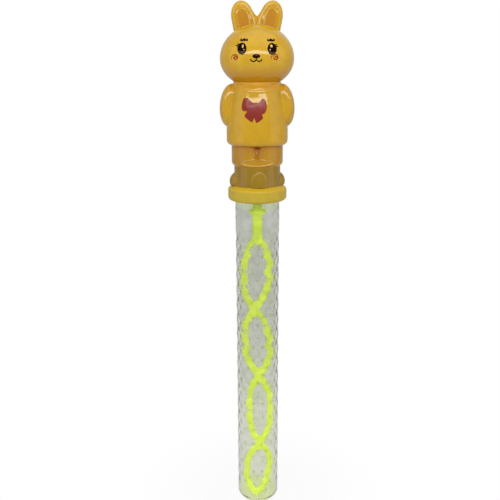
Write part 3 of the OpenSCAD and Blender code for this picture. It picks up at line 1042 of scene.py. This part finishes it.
def patch(outline, front=head_front, layer=1, rings=9, middle=None):
    """A film with a closed outline (x, z) that is seen whole from its middle, on a surface whose distance
    from the middle plane is front. Its top lies layer films out and its back is under the surface."""
    outline = np.asarray(outline, float)
    middle = outline.mean(axis=0) if middle is None else middle
    share = np.concatenate([np.linspace(0, 1, rings), np.linspace(1, 0, rings)])[:, None]
    lift = np.repeat([film * layer, -2 * film], rings)[:, None]
    x = middle[0] + share * (outline[None, :, 0] - middle[0])
    z = middle[1] + share * (outline[None, :, 1] - middle[1])
    return np.stack([x, -front(x, z) - lift, z], axis=-1)


def oval(x, z, half_x, half_z, turn=0.0, start=0, end=360, count=48):
    """Points round an ellipse, or round the part of it between two angles, turned by turn degrees."""
    angle = np.radians(np.linspace(start, end, count, endpoint=end - start < 360))
    a, b = half_x * np.cos(angle), half_z * np.sin(angle)
    c, s = math.cos(math.radians(turn)), math.sin(math.radians(turn))
    return np.stack([x + a * c - b * s, z + a * s + b * c], axis=-1)


def rounded_line(points, passes=3, share=0.25, closed=False):
    """A line through points with its corners cut off again and again."""
    points = np.asarray(points, float)
    for _ in range(passes):
        after = np.roll(points, -1, axis=0) if closed else points[1:]
        before = points if closed else points[:-1]
        near, far = before + share * (after - before), after + share * (before - after)
        cut = np.stack([near, far], axis=1).reshape(-1, 2)
        points = cut if closed else np.concatenate([points[:1], cut[1:-1], points[-1:]])
    return points


def stroke(points, width, taper=0.2):
    """A film on the head along a line of points (x, z), which narrows to nothing at its two ends."""
    line = ringed(points, 0.12)
    direction = np.gradient(line, axis=0)
    direction /= np.linalg.norm(direction, axis=1, keepdims=True)
    place = np.linspace(0, 1, len(line))
    wide = width / 2 * np.sqrt(np.clip(np.minimum(place, 1 - place) / taper, 0, 1))
    edges = []
    for share, lift in ((-1, -2 * film), (-0.8, film), (0.8, film), (1, -2 * film)):
        x = line[:, 0] - direction[:, 1] * wide * share
        z = line[:, 1] + direction[:, 0] * wide * share
        edges.append(np.stack([x, -head_front(x, z) - lift, z], axis=-1))
    return np.stack(edges, axis=1)


eye_half = (2.95, 3.65)
left_eye = (-9.57, 338.82)
right_eye = (9.57, 338.6)
nose = (-0.48, 334.06)
nose_half = (2.5, 1.33)
black = [patch(oval(*left_eye, *eye_half, turn=-4)),
         patch(oval(*right_eye, *eye_half, turn=4)),
         patch(oval(*nose, *nose_half))]
lashes = [[(-11.2, 341.0), (-11.9, 341.6), (-12.6, 341.9)], [(-11.8, 340.2), (-12.7, 340.7), (-13.6, 340.8)],
          [(11.4, 340.6), (12.1, 341.2), (12.7, 341.4)], [(11.7, 339.9), (12.6, 340.3), (13.5, 340.3)]]
mouth = [[(-0.4, 333.3), (-0.4, 331.9)],
         [(-4.2, 332.4), (-3.7, 331.4), (-2.6, 330.8), (-1.6, 330.9), (-0.9, 331.4), (-0.4, 332.1)],
         [(-0.4, 332.1), (0.2, 331.4), (0.9, 330.9), (1.8, 330.9), (2.7, 331.4), (3.1, 332.4)]]
for line in lashes:
    black.append(stroke(rounded_line(line), width=0.9, taper=0.3))
for line in mouth:
    black.append(stroke(rounded_line(line), width=0.85, taper=0.1))
brow_hairs = 6
brow_length = 4.0
for side, start, low, high in ((-1, 6.3, 343.2, 345.4), (1, 7.0, 343.0, 345.2)):
    for hair in range(brow_hairs):
        out = start + brow_length * hair / (brow_hairs - 1)
        base = low + 0.35 * (hair % 2) + (0.25 if side > 0 else 0) * (hair - 2) / 4
        tip = high - 0.35 * ((hair + 1) % 3)
        black.append(stroke([(side * out, base), (side * (out - 0.25), tip)], width=0.95, taper=0.3))
    brow = [(side * 6.5, low + 0.5), (side * 8.6, low + 0.9), (side * 10.9, low + 0.3)]
    black.append(stroke(rounded_line(brow), width=1.2, taper=0.4))
cream = [patch(oval(-9.0, 340.2, 0.6, 1.0, turn=-14), layer=2),
         patch(oval(-8.3, 338.3, 0.34, 0.42), layer=2),
         patch(oval(9.15, 340.3, 0.75, 0.95, turn=10), layer=2),
         patch(oval(8.3, 338.0, 0.42, 0.42), layer=2)]
grey = [patch(oval(-0.2, 334.6, 0.9, 0.42), layer=2),
        patch(oval(left_eye[0] - 0.1, left_eye[1] - 0.1, 2.5, 3.3, start=200, end=350), layer=2),
        patch(oval(right_eye[0] - 0.1, right_eye[1] - 0.1, 2.5, 3.3, start=195, end=325), layer=2)]
rust = []
for cheek, half, ends, dot, dot_half, blush in (
        ((-13.75, 333.6), (1.3, 1.5), (-200, 155), (-13.75, 333.5), (0.6, 0.6),
         [(-16.4, 332.2), (-16.3, 334.1), (-15.1, 335.2), (-13.4, 335.3)]),
        ((11.9, 333.6), (1.4, 1.6), (-170, 185), (12.0, 333.4), (0.55, 0.6),
         [(9.1, 332.4), (9.1, 333.9), (9.8, 334.7)])):
    ring = oval(*cheek, *half, start=ends[0], end=ends[1])
    rust.append(stroke(ring, width=0.75, taper=0.1))
    rust.append(stroke(oval(*dot, *dot_half, start=-60, end=250), width=0.75, taper=0.1))
    rust.append(stroke(rounded_line(blush), width=0.5))


def printed(name, films, colour, gloss=0.08, rough=0.4):
    """A print of one ink: several films as one piece on the figure, with a faint screen of thinner ink."""
    piece = put_shells(name, films)
    thin = tuple(min(value * 1.25 + more, 1) for value, more in zip(colour, (0.01, 0.006, 0.004, 0)))

    def ink(tree):
        return mixed(noise(tree, 0.7).step(0.35, 0.75), colour, thin)

    def ink_roughness(tree):
        return noise(tree, 1.2) * 0.1 + rough

    piece.data.materials.append(finish(name + "_ink", ink, ink_roughness, Specular_IOR_Level=gloss))
    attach(piece, "cap")


printed("face_black", black, rgb(10, 2, 1), gloss=0.03)
printed("face_cream", cream, rgb(222, 184, 100))
printed("face_grey", grey, rgb(74, 60, 46), gloss=0.03)
printed("face_rust", rust, rgb(146, 44, 14))

# The bow: printed in dark red ink on the chest, with two wings, a knot and two tails. It is one film that
# follows the coat and the fold above it.
bow_middle = (-2.0, 301.0)
bow_line = [(-8.8, 307.9), (-6.0, 308.2), (-4.3, 306.2), (-2.5, 304.8), (-1.4, 305.1), (1.2, 305.0),
            (3.1, 307.4), (4.6, 307.6), (6.0, 305.6), (6.3, 301.6), (5.4, 298.7), (3.1, 297.6), (4.2, 295.2),
            (-0.6, 291.8), (-1.9, 295.8), (-3.3, 292.3), (-8.8, 296.5), (-6.3, 299.7), (-9.4, 299.8),
            (-10.3, 301.6), (-10.0, 304.4)]


def coat_front(x, z):
    """The distance of the coat's front from the middle plane, above the straight part of the coat."""
    share = np.clip((z - hem - hem_height) / coat_rise, 0, 1)
    radius = coat_radius - slope * share + coat_belly * np.sin(np.pi * share)
    radius = radius + chest_fold(-np.arccos(x / radius), z)
    return np.sqrt(radius ** 2 - x ** 2)


bow_outline = rounded_line(bow_line, passes=2, share=0.16, closed=True)
bow_film = patch(bow_outline, coat_front, rings=16, middle=bow_middle)
printed("bow_red", [bow_film], rgb(130, 30, 18), gloss=0.33, rough=0.17)
